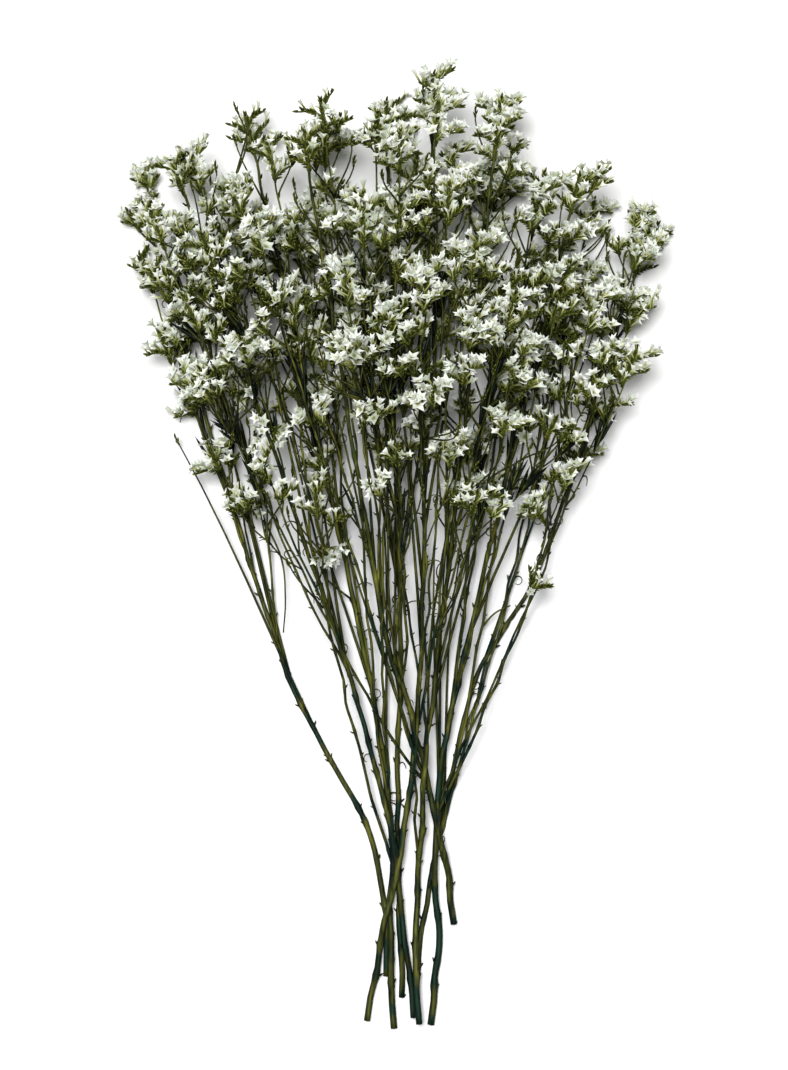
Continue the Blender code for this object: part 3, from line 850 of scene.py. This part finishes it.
@dataclass
class FloweringStem:
    """One stem of the bunch: its round stem, branches and twigs, and its flower heads."""

    number: int
    shoots: list[Shoot]
    store: PartStore
    kink: float = 0.0012
    main_kink: float = 0.0008
    swelling: float = 1.32
    kink_length: float = 0.013
    node_step: tuple[float, float] = (0.009, 0.028)
    twiglets: tuple[int, int] = (2, 3)
    twiglet_length: tuple[float, float] = (0.011, 0.028)
    twiglet_angle: tuple[float, float] = (20, 42)
    waist: Vector = field(default_factory=lambda: Vector((0.005, -0.180)))
    crown_from: float = 0.290
    fan_edge: float = math.radians(17)
    wisps: int = 3
    wisp_length: tuple[float, float] = (0.020, 0.042)
    # How many dark straps of painted shade each shoot may get, and the band of Y where they may grow.
    shade_blades: int = 12
    shade_blades_from: float = 0.01
    shade_blades_to: float = 0.13
    slim: float = 0.86
    long_wisps: int = 3
    tendrils: tuple[int, int] = (1, 3)

    def build(self, green: Sequence[bpy.types.Material], white: bpy.types.Material) -> list[bpy.types.Object]:
        """Builds the stem's two pieces and puts them in the frame.

        Args:
            green: the finishes of stems, bracts, node scales and the dark straps of painted shade, in that order.
            white: the finish of the florets.

        Returns:
            The green piece and the florets.
        """
        self.rng = random.Random(100 + self.number)
        self.stalks = Assembly(f"stem_{self.number}_green")
        florets = Assembly(f"stem_{self.number}_florets", smooth=False)
        head = Head(self.store, self.stalks, florets, self.rng)
        for shoot in self.shoots:
            self._add_stalk(shoot)
            front = shoot.florets[0][1] + UP * self.rng.uniform(0.0, 1.5)
            high = (shoot.route[-1].xy - self.waist).length > self.crown_from
            head.build(shoot.route, front, 0.021 if high else 0.014, self.rng.randint(3, 4) if high else 2, (0.008, 0.013))
            for _ in range(self.rng.randint(*self.twiglets) if high else 1):
                self._add_twiglet(shoot, head)
            for _ in range(self.wisps):
                self._add_wisp(shoot, head)
            # Dark straps low in the crown, as painted shade.
            for _ in range(self.shade_blades):
                self._add_shade_blade(shoot)
            for _ in range(self.rng.randint(*self.tendrils) + (5 if shoot.kind is None else 0)):
                self._add_tendril(shoot)
            for _ in range(self.long_wisps if shoot.kind is None else 0):
                self._add_long_wisp(shoot, head)
        for stray in STRAYS:
            if stray.stem == self.number:
                self._add_stray(stray, head)
        made = [self.stalks.finished(green), florets.finished([white])]
        for piece in made:
            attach(piece, "root")
            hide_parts(f"flowering_stem_{self.number}")
        return made

    def _add_stalk(self, shoot: Shoot) -> None:
        """The round stalk of a shoot with its slight kinks, and small dark scales at its nodes."""
        length = route_length(shoot.route)
        count = max(10, int(length / 0.004))
        route = self._kinked(evenly(shoot.route, count), length, self.kink if shoot.kind else self.main_kink)
        radii = self._radii(shoot, count)
        place, hand = self.rng.uniform(*self.node_step), 1
        while place < length - 0.02:
            k = min(int(place / length * (count - 1)), count - 2)
            size = 1.0 if shoot.kind else 1.4
            self._add_node(route[k], (route[k + 1] - route[k]).normalized(), radii[k] * hand, size)
            radii[k] *= self.rng.uniform(1.08, self.swelling)
            place, hand = place + self.rng.uniform(*self.node_step), -hand
        sides = 8 if shoot.kind is None else 6
        self.stalks.add(tube(route, radii, sides), None, self.rng.random(), Organ.STEM)
        self._add_node(route[0], (route[2] - route[0]).normalized(), 0.0, 1.3)

    def _add_node(self, point: Vector, axis: Vector, offset: float, size: float) -> None:
        """A small dark scale that stands out at a node, on the side of the stalk that the offset tells."""
        side = axis.cross(UP).normalized() * (1 if offset >= 0 else -1)
        root = point + side * abs(offset) * 0.8 - axis * 0.0005
        lean = axis + side * self.rng.uniform(0.3, 1.1) + UP * self.rng.uniform(-0.3, 0.4)
        place = placed(root, lean, UP, size * self.rng.uniform(0.7, 1.4))
        self.stalks.add(self.store.scale, place, self.rng.random(), Organ.SCALE)

    def _side_twig(self, shoot: Shoot, back: float, length: float, spin: float, radius: float, angle: float) -> tuple:
        """A thin twig that leaves a shoot to one side and curves up along it.

        Args:
            shoot: what it grows on.
            back: how far back from the shoot's tip it leaves.
            length: its length.
            spin: how far round the shoot it may leave from its side, in radians.
            radius: its radius at the root.
            angle: its angle to the shoot at its root, in degrees.

        Returns:
            The points of the twig and the side to which it leaves.
        """
        rng = self.rng
        start = back_along(shoot.route, back)
        axis = (back_along(shoot.route, back - 0.004) - start).normalized()
        side = axis.cross(UP).normalized()
        hand = rng.choice((-1, 1))
        fan = math.atan2(start.x - self.waist.x, start.y - self.waist.y)
        if abs(fan) > self.fan_edge:
            hand = -1 if side.x * fan > 0 else 1
        out = Matrix.Rotation(rng.uniform(-spin, spin), 3, axis) @ side * hand
        lean = axis * math.cos(math.radians(angle)) + out * math.sin(math.radians(angle))
        end = start + lean * length
        end.z = max(end.z, 0.007)
        route = interpolate_bezier(start, start + lean * length / 3, end - axis * length / 3, end, 7)
        for point in route:
            point.z = max(point.z, radius)
        radii = [lerp(radius, 0.00032, k / 6) for k in range(7)]
        self.stalks.add(tube(route, radii, 5), None, rng.random(), Organ.STEM)
        self._add_node(start, axis, 0.0, 0.9)
        return route, out

    def _add_twiglet(self, shoot: Shoot, head: Head) -> None:
        """A thin side twig with a small head of its own."""
        rng = self.rng
        back = rng.uniform(0.018, min(0.080, route_length(shoot.route) * 0.5))
        length = min(rng.uniform(*self.twiglet_length), back * 0.9)
        route, out = self._side_twig(shoot, back, length, 0.7, 0.0005, rng.uniform(*self.twiglet_angle))
        head.build(route, UP + out * rng.uniform(-0.8, 0.8), 0.008, 2, (0.005, 0.008))

    def _add_wisp(self, shoot: Shoot, head: Head) -> None:
        """A thin side twig, bare but for a few bracts at its end."""
        rng = self.rng
        back = rng.uniform(0.030, min(0.110, max(0.035, route_length(shoot.route) * 0.62)))
        length = min(rng.uniform(*self.wisp_length), back * 0.9)
        head.sprig(self._side_twig(shoot, back, length, 1.3, 0.00055, rng.uniform(*self.twiglet_angle))[0], 6)

    def _add_long_wisp(self, shoot: Shoot, head: Head) -> None:
        """A long thin twig that runs up beside a main stem into the crown."""
        rng = self.rng
        back = rng.uniform(0.230, 0.360)
        length = min(rng.uniform(0.110, 0.210), back * 0.8)
        head.sprig(self._side_twig(shoot, back, length, 0.9, 0.0009, rng.uniform(4, 9))[0], 6)

    def _add_tendril(self, shoot: Shoot) -> None:
        """A short broken stub or a thin curled tendril on the bare part of a shoot."""
        rng = self.rng
        back = rng.uniform(0.35, 0.85) * route_length(shoot.route)
        point = back_along(shoot.route, back)
        axis = (back_along(shoot.route, back - 0.003) - point).normalized()
        out = Matrix.Rotation(rng.uniform(0, math.tau), 3, axis) @ axis.orthogonal().normalized()
        curl, steps, step = rng.choice(((0.0, 3, 0.0014), (0.3, 7, 0.0016), (0.6, 8, 0.0013)))
        turn = Matrix.Rotation(curl * rng.choice((-1, 1)), 3, axis.cross(out))
        route, lean = [point], (axis + out * rng.uniform(0.4, 1.3)).normalized()
        for _ in range(steps):
            route.append(route[-1] + lean * step)
            route[-1].z = max(route[-1].z, 0.0005)
            lean = turn @ lean
        radii = [lerp(0.0004, 0.00022, k / steps) for k in range(steps + 1)]
        self.stalks.add(tube(route, radii, 4), None, rng.random(), Organ.STEM)

    def _add_shade_blade(self, shoot: Shoot) -> None:
        """A dark strap, shaped like a leaf, that leaves a shoot low down, under the flowers; it is painted shade, a
        dark sheet that stands in for the shade deep in the crown.
        """
        back = self.rng.uniform(0.045, min(0.130, max(0.050, route_length(shoot.route) * 0.7)))
        start = back_along(shoot.route, back)
        axis = (back_along(shoot.route, back - 0.004) - start).normalized()
        out = Matrix.Rotation(self.rng.uniform(-1.5, 1.5), 3, axis) @ -UP
        lean = (axis + out * self.rng.uniform(0.05, 0.3)).normalized()
        size = self.rng.uniform(0.55, 1.05)
        if self.shade_blades_from < start.y < self.shade_blades_to and (start + lean * 0.021 * size).z > 0.0015:
            facing = UP + out * self.rng.uniform(-0.6, 0.6)
            place = placed(start, lean, facing, size)
            self.stalks.add(self.store.shade_blade, place, self.rng.random(), Organ.SHADE_BLADE)

    def _add_stray(self, stray: Stray, head: Head) -> None:
        """A thin twig along a course that the photograph shows, from the nearest shoot of the stem."""
        first = Vector(stray.course[0])
        start = min((p for shoot in self.shoots for p in shoot.route), key=lambda p: (p.xy - first).length)
        rest = [Vector((x, y, start.z + 0.001 * k)) for k, (x, y) in enumerate(stray.course[1:], 1)]
        route = smooth([start, *rest], 16)
        radii = [lerp(0.0006, 0.00035, k / 15) for k in range(16)]
        self.stalks.add(tube(route, radii, 5), None, self.rng.random(), Organ.STEM)
        if stray.ending is Ending.BUDS:
            head.sprig(route, 7)
        if stray.ending is Ending.HEAD:
            head.build(route, UP, 0.013, 3, (0.006, 0.009))

    def _radii(self, shoot: Shoot, count: int) -> list[float]:
        """The stalk's radius at each of count points, without the swelling that stands for a spike."""
        ends = shoot.radii if shoot.kind is not TWIG else [shoot.radii[0], shoot.radii[1]]
        at = np.linspace(0, len(ends) - 1, count)
        return [float(r) * self.slim for r in np.interp(at, range(len(ends)), ends)]

    def _kinked(self, route: list[Vector], length: float, kink: float) -> list[Vector]:
        """The route with slight kinks to the left and right, which are gone at both ends."""
        draw = self.rng.uniform
        kinks = max(2, int(length / self.kink_length))
        offsets = [Vector((draw(-1, 1), 0, draw(-0.4, 0.4))) * kink for _ in range(kinks)]
        offsets = [Vector()] + offsets + [Vector()]
        bent = []
        for k, point in enumerate(route):
            place = k / (len(route) - 1) * (len(offsets) - 1)
            before = min(int(place), len(offsets) - 2)
            bent.append(point + lerp(offsets[before], offsets[before + 1], place - before))
        return bent


class Shader:
    """A small helper that wires a Principled material's nodes."""

    def __init__(self, name: str) -> None:
        """Starts a material with an empty Principled setup."""
        self.material = bpy.data.materials.new(name)
        self.material.use_nodes = True
        self.tree = self.material.node_tree
        self.surface = self.tree.nodes["Principled BSDF"]

    def node(self, kind: str, **values):
        """A new node with its properties set."""
        made = self.tree.nodes.new(kind)
        for key, value in values.items():
            setattr(made, key, value)
        return made

    def link(self, source, target) -> None:
        """Joins an output to an input."""
        self.tree.links.new(source, target)

    def attribute(self, name: str):
        """The value of one of the piece's own attributes."""
        return self.node("ShaderNodeAttribute", attribute_name=name).outputs["Fac"]

    def noise(self, scale: float, stretch: tuple[float, float, float] = (1, 1, 1), detail: float = 3.0):
        """Noise on Object coordinates, stretched by a share along each axis."""
        place = self.node("ShaderNodeMapping")
        place.inputs["Scale"].default_value = stretch
        self.link(self.node("ShaderNodeTexCoord").outputs["Object"], place.inputs["Vector"])
        made = self.node("ShaderNodeTexNoise")
        made.inputs["Scale"].default_value = scale
        made.inputs["Detail"].default_value = detail
        self.link(place.outputs["Vector"], made.inputs["Vector"])
        return made.outputs["Fac"]

    def height(self, low: float, high: float):
        """How far up the bunch a point lies, from 0 at a low Y to 1 at a high one."""
        place = self.node("ShaderNodeSeparateXYZ")
        self.link(self.node("ShaderNodeTexCoord").outputs["Object"], place.inputs[0])
        return self.spread(place.outputs["Y"], low, high)

    def spread(self, source, low: float, high: float):
        """A value spread out so that it runs from 0 at low to 1 at high."""
        made = self.node("ShaderNodeMapRange")
        made.inputs["From Min"].default_value, made.inputs["From Max"].default_value = low, high
        self.link(source, made.inputs["Value"])
        return made.outputs["Result"]

    def blend(self, first, second, share: float):
        """Two values blended, with this share of the second."""
        made = self.node("ShaderNodeMix", data_type="FLOAT")
        made.inputs[0].default_value = share
        self.link(first, made.inputs[2])
        self.link(second, made.inputs[3])
        return made.outputs[0]

    def ramp(self, source, stops: Sequence[tuple[float, tuple[float, float, float]]]):
        """Colours by a value, between stops."""
        made = self.node("ShaderNodeValToRGB")
        elements = made.color_ramp.elements
        while len(elements) < len(stops):
            elements.new(0.5)
        for element, (place, colour) in zip(elements, stops):
            element.position = place
            element.color = (*colour, 1.0)
        self.link(source, made.inputs["Fac"])
        return made.outputs["Color"]

    def mixed(self, share, first, second, blend: str = "MIX"):
        """Two colours mixed by a share, which is a number or an output."""
        made = self.node("ShaderNodeMix", data_type="RGBA", blend_type=blend)
        for key, value in (("Factor", share), ("A", first), ("B", second)):
            socket = next(s for s in made.inputs if s.name == key and s.type == ("VALUE" if key == "Factor" else "RGBA"))
            if isinstance(value, bpy.types.NodeSocket):
                self.link(value, socket)
            else:
                socket.default_value = value
        return next(s for s in made.outputs if s.type == "RGBA")

    def bump(self, height, strength: float, distance: float) -> None:
        """Fine relief from a height."""
        made = self.node("ShaderNodeBump")
        made.inputs["Strength"].default_value = strength
        made.inputs["Distance"].default_value = distance
        self.link(height, made.inputs["Height"])
        self.link(made.outputs["Normal"], self.surface.inputs["Normal"])


@dataclass(frozen=True)
class StalkFinish:
    """Dry olive bark with dark blue-green stretches, fine lengthwise streaks and a dull sheen, with painted shade on
    the sides and undersides and a painted highlight on top.
    """

    name: str = "dried_stalk"
    olive: tuple[float, float, float] = (0.046, 0.052, 0.011)
    pale: tuple[float, float, float] = (0.118, 0.126, 0.026)
    dark: tuple[float, float, float] = (0.009, 0.030, 0.018)
    roughness: float = 0.62

    def build(self) -> bpy.types.Material:
        """The material."""
        shader = Shader(self.name)
        patches = shader.spread(shader.noise(90.0, (1.0, 0.4, 1.0), 5.0), 0.40, 0.60)
        streaks = shader.noise(900.0, (1.0, 0.05, 1.0), 2.0)
        own = shader.blend(shader.attribute("tone"), patches, 0.7)
        own = shader.blend(own, shader.height(-0.20, 0.04), 0.28)
        colour = shader.ramp(own, ((0.27, self.dark), (0.36, self.olive), (0.92, self.pale)))
        fine = shader.ramp(streaks, ((0.30, (0.40, 0.43, 0.45)), (0.62, (1.25, 1.22, 1.1))))
        colour = shader.mixed(1.0, colour, fine, "MULTIPLY")
        grain = shader.ramp(shader.noise(330.0, (1.0, 0.09, 1.0), 4.0), ((0.40, (0.42, 0.52, 0.56)), (0.60, (1.3, 1.25, 1.3))))
        colour = shader.mixed(1.0, colour, grain, "MULTIPLY")
        # Painted shade and highlight: near-black where a stalk faces sideways or down, lighter where it faces up, by
        # the 'upper' attribute.
        sides = shader.ramp(shader.attribute("upper"), ((0.60, (0.12, 0.14, 0.15)), (0.98, (1.2, 1.2, 1.15))))
        shader.link(shader.mixed(1.0, colour, sides, "MULTIPLY"), shader.surface.inputs["Base Color"])
        shader.surface.inputs["Roughness"].default_value = self.roughness
        shader.surface.inputs["Specular IOR Level"].default_value = 0.2
        shader.bump(streaks, 0.4, 0.0004)
        return shader.material


@dataclass(frozen=True)
class BractFinish:
    """Olive scales that turn cream towards their dry tips."""

    name: str = "bract"
    root: tuple[float, float, float] = (0.016, 0.021, 0.003)
    middle: tuple[float, float, float] = (0.072, 0.088, 0.010)
    tip: tuple[float, float, float] = (0.360, 0.360, 0.140)
    dull: tuple[float, float, float] = (0.45, 0.52, 0.42)
    bright: tuple[float, float, float] = (1.25, 1.22, 1.0)
    roughness: float = 0.7

    def build(self) -> bpy.types.Material:
        """The material."""
        shader = Shader(self.name)
        stops = ((0.0, self.root), (0.62, self.middle), (1.0, self.tip))
        colour = shader.ramp(shader.attribute("along"), stops)
        dry = shader.ramp(shader.attribute("tone"), ((0.0, self.dull), (1.0, self.bright)))
        shader.link(shader.mixed(1.0, colour, dry, "MULTIPLY"), shader.surface.inputs["Base Color"])
        shader.surface.inputs["Roughness"].default_value = self.roughness
        shader.surface.inputs["Specular IOR Level"].default_value = 0.2
        shader.bump(shader.noise(1400.0, (1.0, 0.2, 1.0)), 0.3, 0.0002)
        return shader.material


@dataclass(frozen=True)
class LimbFinish:
    """Papery white limbs over yellow-green tubes, with an olive eye; some are aged and duller, and these grey-green
    ones are also painted shade that stands in for florets deep in the bunch.
    """

    name: str = "papery_limb"
    root: tuple[float, float, float] = (0.060, 0.075, 0.010)
    calyx: tuple[float, float, float] = (0.180, 0.200, 0.040)
    throat: tuple[float, float, float] = (0.560, 0.560, 0.300)
    eye: tuple[float, float, float] = (0.240, 0.230, 0.060)
    limb: tuple[float, float, float] = (0.760, 0.780, 0.710)
    rim: tuple[float, float, float] = (0.880, 0.895, 0.870)
    aged_and_shade_grey: tuple[float, float, float] = (0.55, 0.59, 0.48)
    roughness: float = 0.65

    def build(self) -> bpy.types.Material:
        """The material."""
        shader = Shader(self.name)
        outside = ((0.0, self.root), (0.13, self.calyx), (0.26, self.throat), (0.45, self.limb), (0.60, self.rim))
        stops = (*outside, (0.85, self.limb), (1.0, self.eye))
        colour = shader.ramp(shader.attribute("along"), stops)
        # Random per floret: low tones turn grey-green, partly for aged florets and partly as painted shade for
        # florets in the bunch's depth.
        age_and_shade = shader.ramp(shader.attribute("tone"), ((0.0, self.aged_and_shade_grey), (0.40, (0.92, 0.94, 0.92)), (1.0, (1, 1, 1))))
        shader.link(shader.mixed(1.0, colour, age_and_shade, "MULTIPLY"), shader.surface.inputs["Base Color"])
        shader.surface.inputs["Roughness"].default_value = self.roughness
        shader.bump(shader.noise(1100.0), 0.25, 0.0002)
        return shader.material


@dataclass
class Studio:
    """The pale table, the soft light and the camera that looks straight down."""

    frame_height: float = 0.543
    frame_centre: tuple[float, float] = (0.0, 0.0063)
    middle_height: float = 0.045
    distance: float = 2.2
    sensor: float = 24.0
    surround: float = 0.17
    key: float = 3.1
    softness: float = 22.0

    def build(self) -> None:
        """Builds the table, the lights and the camera."""
        self._table()
        self._lights()
        self._camera()

    def _table(self) -> None:
        """A wide, pale, matt plane."""
        mesh = bmesh.new()
        bmesh.ops.create_grid(mesh, x_segments=2, y_segments=2, size=3.0)
        part = as_part(mesh, np.zeros(9))
        table = bpy.data.objects.new("table", part.data)
        shader = Shader("pale_table")
        colour = shader.ramp(shader.noise(9.0), ((0.3, (0.90, 0.90, 0.90)), (0.7, (0.93, 0.93, 0.93))))
        shader.link(colour, shader.surface.inputs["Base Color"])
        shader.surface.inputs["Roughness"].default_value = 0.9
        table.data.materials.append(shader.material)
        bpy.context.scene.collection.objects.link(table)

    def _lights(self) -> None:
        """A dim even surround and one broad soft light from almost straight above."""
        world = bpy.data.worlds.new("surround")
        world.use_nodes = True
        world.node_tree.nodes["Background"].inputs["Color"].default_value = (1.0, 1.0, 1.0, 1.0)
        world.node_tree.nodes["Background"].inputs["Strength"].default_value = self.surround
        bpy.context.scene.world = world
        lamp = bpy.data.lights.new("soft_key", "SUN")
        lamp.angle = math.radians(self.softness)
        lamp.energy = self.key
        key = bpy.data.objects.new("soft_key", lamp)
        key.location = (-0.18, 0.28, 1.8)
        key.rotation_euler = (-key.location).to_track_quat("-Z", "Y").to_euler()
        bpy.context.scene.collection.objects.link(key)

    def _camera(self) -> None:
        """The camera over the middle of the photograph's frame, with its top towards +Y."""
        lens = bpy.data.cameras.new("camera")
        lens.sensor_width = self.sensor
        lens.lens = self.sensor * self.distance / self.frame_height
        lens.clip_start, lens.clip_end = 0.05, 20.0
        camera = bpy.data.objects.new("camera", lens)
        camera.location = (*self.frame_centre, self.middle_height + self.distance)
        bpy.context.scene.collection.objects.link(camera)
        bpy.context.scene.camera = camera


def write_sizes() -> None:
    """Brings the scene's matrices up to date."""
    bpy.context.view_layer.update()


def main() -> None:
    """Builds the stems in order, then the studio."""
    logging.basicConfig(level=logging.INFO, format="%(message)s", stream=sys.stdout)
    bpy.context.scene.view_settings.view_transform = "Standard"
    bpy.context.scene.view_settings.look = "Medium High Contrast"
    store = PartStore()
    node_scale = StalkFinish("node_scale", dark=(0.015, 0.012, 0.006))
    # The straps' near-black finish is painted shade for the crown's depth.
    shade_blade = StalkFinish("painted_shade_blade", (0.012, 0.024, 0.014), (0.030, 0.042, 0.018), (0.005, 0.013, 0.010))
    green = [finish.build() for finish in (StalkFinish(), BractFinish(), node_scale, shade_blade)]
    white = LimbFinish().build()
    total = 0
    for number, shoots in enumerate(BunchPlanner().plan(), 1):
        for piece in FloweringStem(number, shoots, store).build(green, white):
            triangles = sum(len(p.vertices) - 2 for p in piece.data.polygons)
            total += triangles
            log.info("%s: %d triangles", piece.name, triangles)
    log.info("all pieces: %d triangles", total)
    Studio().build()
    write_sizes()


if __name__ == "__main__":
    main()
